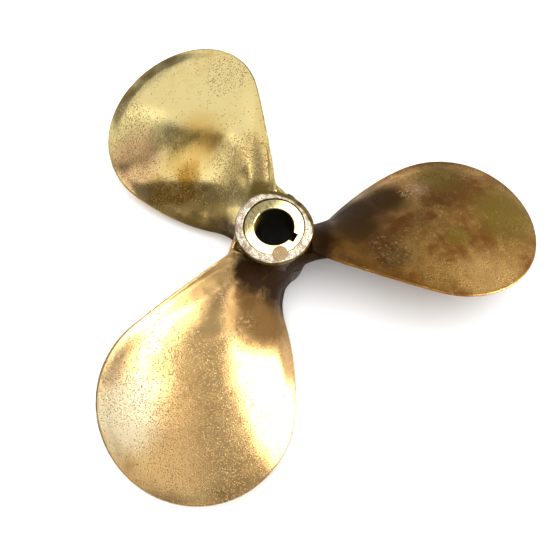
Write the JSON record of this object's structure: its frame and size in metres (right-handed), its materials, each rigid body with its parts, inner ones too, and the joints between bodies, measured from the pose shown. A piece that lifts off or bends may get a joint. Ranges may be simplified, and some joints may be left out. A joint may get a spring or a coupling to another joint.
{
  "type": "boat propeller",
  "caption": "Left-hand fixed-pitch bronze boat propeller: wide round blades on a tapered hub, sleeved bore with a keyway.",
  "frame": {"origin": "centre of the shaft bore in the plane of the hub's aft (small) end", "axes": "+Z along the shaft axis towards the hub's forward (large) end; +X along the spindle of blade_1"},
  "size_m": [0.3042, 0.3232, 0.065],
  "materials": {
    "cast_bronze": "worn cast bronze, polished in places, brown patina and fine pitting",
    "machined_bronze": "bright turned bronze with fine tool marks",
    "pin_bronze": "dull filed bronze"
  },
  "bodies": {
    "root": {"hub": "cast_bronze", "blade_1": "cast_bronze", "blade_2": "cast_bronze", "blade_3": "cast_bronze", "bore_bush": "machined_bronze", "locking_pin": "pin_bronze"}
  },
  "joints": []
}
